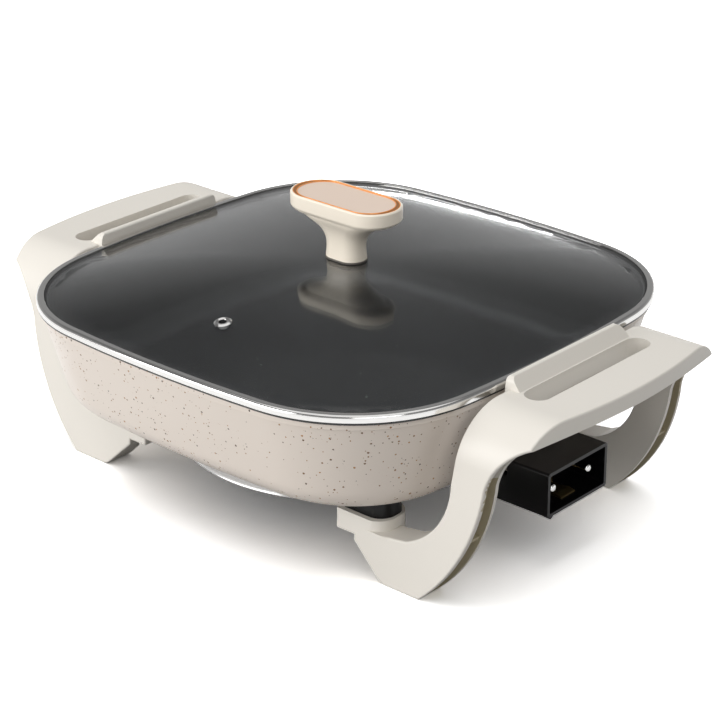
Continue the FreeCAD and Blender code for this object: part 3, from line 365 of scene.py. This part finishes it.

# The same lacquer in the groove round the ring, painted darker as painted shade where less light
# comes in, and duller.
copper_painted_groove_shade = start_material(
    "copper_groove_painted_shade", Base_Color=linear("A8703C"), Metallic=0.3, Roughness=0.4)

# The groove is sunk into the ring's top face, inside a narrow level margin.
RING_FACING_UP = 0.9
FLAT_WITHIN = 0.01
GROOVE_MARGIN = 0.00045
GROOVE_SLOPE = 0.00012
GROOVE_DEPTH = 0.0003

ring = welded("knob_ring", "knob_trim_ring", "copper_trim", copper, copper_painted_groove_shade)
bpy.ops.object.mode_set(mode="EDIT")
bpy.ops.mesh.select_mode(type="FACE")
bpy.ops.mesh.select_all(action="DESELECT")
bpy.ops.object.mode_set(mode="OBJECT")
for face in ring.data.polygons:
    face.select = face.normal.z > RING_FACING_UP
bpy.ops.object.mode_set(mode="EDIT")
bpy.ops.mesh.dissolve_limited(angle_limit=FLAT_WITHIN)
bpy.ops.mesh.inset(thickness=GROOVE_MARGIN, use_boundary=True)
bpy.ops.mesh.inset(thickness=GROOVE_SLOPE, depth=-GROOVE_DEPTH)
# The groove's faces take the copper with painted shade.
ring.active_material_index = 1
bpy.ops.object.material_slot_assign()
bpy.ops.object.mode_set(mode="OBJECT")

# Beige satin plate: flat pinkish beige, with hardly any shine.
beige = start_material("beige_satin_plate", Base_Color=linear("EAD5C4"), Roughness=0.35)
welded("knob_inset", "knob_plate", "beige_inset", beige)

# Grey silicone rubber: dull, a thin dark line between knob and glass.
silicone = start_material("grey_silicone", Base_Color=linear("67635D"), Roughness=0.55)
for node in ("knob_gasket", "knob_seal"):
    welded(node, node + "_rubber", "black_rubber", silicone)

welded("knob_insert", "knob_insert_brass", "contact_brass", brass)
for node in ("knob_screw", "knob_washer"):
    welded(node, node + "_zinc", "steel", zinc)


# Floor, light and camera: white paper in a dim studio. A large lamp stands in front on the
# left, smaller ones on the right and behind, a wide one hangs above, and a narrow strip behind
# shows as a streak along the far edge of the glass.

def grey(level):
    """Colour of a grey, which may be brighter than white."""
    return (level, level, level, 1)


NO_BOUNCE = 0.5


def direct_looks(shaded):
    """Three switches: 1 where the camera looks straight, through glass, or in a mirror."""
    rays = add(shaded, "ShaderNodeLightPath").outputs
    bounces = add(shaded, "ShaderNodeMath",
                  {0: rays["Diffuse Depth"], 1: rays["Glossy Depth"]}, operation="ADD")
    unbent = add(shaded, "ShaderNodeMath", {0: bounces.outputs[0], 1: NO_BOUNCE},
                 operation="LESS_THAN")
    through = add(shaded, "ShaderNodeMath",
                  {0: rays["Is Transmission Ray"], 1: unbent.outputs[0]}, operation="MULTIPLY")
    unspread = add(shaded, "ShaderNodeMath", {0: rays["Diffuse Depth"], 1: NO_BOUNCE},
                   operation="LESS_THAN")
    in_mirror = add(shaded, "ShaderNodeMath",
                    {0: rays["Is Glossy Ray"], 1: unspread.outputs[0]}, operation="MULTIPLY")
    return rays["Is Camera Ray"], through.outputs[0], in_mirror.outputs[0]


# White paper sweep: the camera, mirrors and glass see it white, and it keeps the shadow. To
# all other rays it is mid grey, so that it throws little light up at the object.
PAPER_TO_CAMERA = 3.6
PAPER_IN_GLASS = 1.9
PAPER_TO_OBJECT = 0.5

floor_material = bpy.data.materials.new("pale_floor")
floor_material.use_nodes = True
straight, through, in_mirror = direct_looks(floor_material)
beyond = add(floor_material, "ShaderNodeMath", {0: through, 1: in_mirror}, operation="MAXIMUM")
shown = add(floor_material, "ShaderNodeMix",
            {"Factor": beyond.outputs[0], MIX_A: grey(PAPER_TO_OBJECT),
             MIX_B: grey(PAPER_IN_GLASS)}, data_type="RGBA")
shown = add(floor_material, "ShaderNodeMix",
            {"Factor": straight, MIX_A: shown.outputs[MIX_OUT], MIX_B: grey(PAPER_TO_CAMERA)},
            data_type="RGBA")
paper = add(floor_material, "ShaderNodeBsdfDiffuse", {"Color": shown.outputs[MIX_OUT]})
feed(floor_material, "Material Output", "Surface", paper.outputs[0])
bpy.ops.mesh.primitive_plane_add(size=12, location=(0, 0, 0))
floor = bpy.context.object
floor.name = "floor"
floor.data.materials.append(floor_material)

# The room's grey follows the height of a direction, in stops of height and grey. It lights
# the object from above. In the lid's glass it is pale low down, dark higher up and white
# overhead, and the camera sees it white, straight and through the glass.
LIT = ((0.0, 0.0), (1.0, 0.68))
MIRRORED = ((0.0, 0.55), (0.6, 0.18), (0.77, 0.18), (0.84, 1.0))

world = bpy.data.worlds.new("studio")
bpy.context.scene.world = world
world.use_nodes = True
direction = add(world, "ShaderNodeTexCoord").outputs["Generated"]
aloft = add(world, "ShaderNodeSeparateXYZ", {0: direction})
greys = []
for stops in (LIT, MIRRORED):
    ramp = add(world, "ShaderNodeValToRGB", {0: aloft.outputs["Z"]})
    while len(ramp.color_ramp.elements) < len(stops):
        ramp.color_ramp.elements.new(0.5)
    for element, (height, level) in zip(ramp.color_ramp.elements, stops):
        element.position = height
        element.color = grey(level)
    greys.append(ramp.outputs["Color"])
straight, through, in_mirror = direct_looks(world)
seen = add(world, "ShaderNodeMath", {0: straight, 1: through}, operation="MAXIMUM")
shown = add(world, "ShaderNodeMix", {"Factor": in_mirror, MIX_A: greys[0], MIX_B: greys[1]},
            data_type="RGBA")
shown = add(world, "ShaderNodeMix",
            {"Factor": seen.outputs[0], MIX_A: shown.outputs[MIX_OUT], MIX_B: grey(1)},
            data_type="RGBA")
feed(world, "Background", "Color", shown.outputs[MIX_OUT])


def softbox(name, place, width, height, power, aimed_at=0.08, in_mirrors=True):
    """Rectangular lamp, aimed at a point on the object's middle axis, at that height."""
    lamp = bpy.data.lights.new(name, "AREA")
    lamp.shape = "RECTANGLE"
    lamp.size = width
    lamp.size_y = height
    lamp.energy = power
    holder = bpy.data.objects.new(name, lamp)
    bpy.context.scene.collection.objects.link(holder)
    holder.location = place
    aim = Vector((0, 0, aimed_at)) - Vector(place)
    holder.rotation_euler = aim.to_track_quat("-Z", "Y").to_euler()
    holder.visible_glossy = in_mirrors
    return holder


front_left = softbox("front_left", (-0.62, -1.5, 0.47), width=1.3, height=0.9, power=20)
front_right = softbox("front_right", (1.4, -0.9, 0.9), width=1.0, height=1.0, power=6)
back = softbox("back", (-0.8, 1.4, 0.8), width=1.0, height=1.0, power=7, in_mirrors=False)
softbox("above", (-0.3, -0.2, 1.9), width=1.6, height=1.6, power=8.5, in_mirrors=False)
softbox("streak", (-0.62, 1.75, 0.14), width=1.5, height=0.045, power=1.2, aimed_at=0.11)

# Flags keep the lower lamps off the floor, so the shadow under the pan stays deep, and off the
# glass, so no lamp's glare hides the pan from behind.
flagged = bpy.data.collections.new("kept_from_low_lamps")
for kept_dark in (floor, glass):
    flagged.objects.link(kept_dark)
for lamp in (front_left, front_right, back):
    lamp.light_linking.receiver_collection = flagged
for entry in flagged.collection_objects:
    entry.light_linking.link_state = "EXCLUDE"

# The camera stands in front on the right and looks down on the lid, with a long lens.
CAMERA_PLACE = (0.8100, -0.8938, 0.6082)
CAMERA_BACK = Vector((0.6085, -0.6797, 0.4096)).normalized()
CAMERA_ROLL = math.radians(-0.25)
LENS_MM = 115.59
SENSOR_MM = 36

level_right = Vector((-CAMERA_BACK.y, CAMERA_BACK.x, 0)).normalized()
level_up = CAMERA_BACK.cross(level_right)
right = level_right * math.cos(CAMERA_ROLL) + level_up * math.sin(CAMERA_ROLL)
up = CAMERA_BACK.cross(right)
lens = bpy.data.cameras.new("camera")
lens.lens = LENS_MM
lens.sensor_width = SENSOR_MM
camera = bpy.data.objects.new("camera", lens)
bpy.context.scene.collection.objects.link(camera)
camera.matrix_world = Matrix((right, up, CAMERA_BACK)).transposed().to_4x4()
camera.location = CAMERA_PLACE
bpy.context.scene.camera = camera
bpy.context.scene.view_settings.view_transform = "Standard"
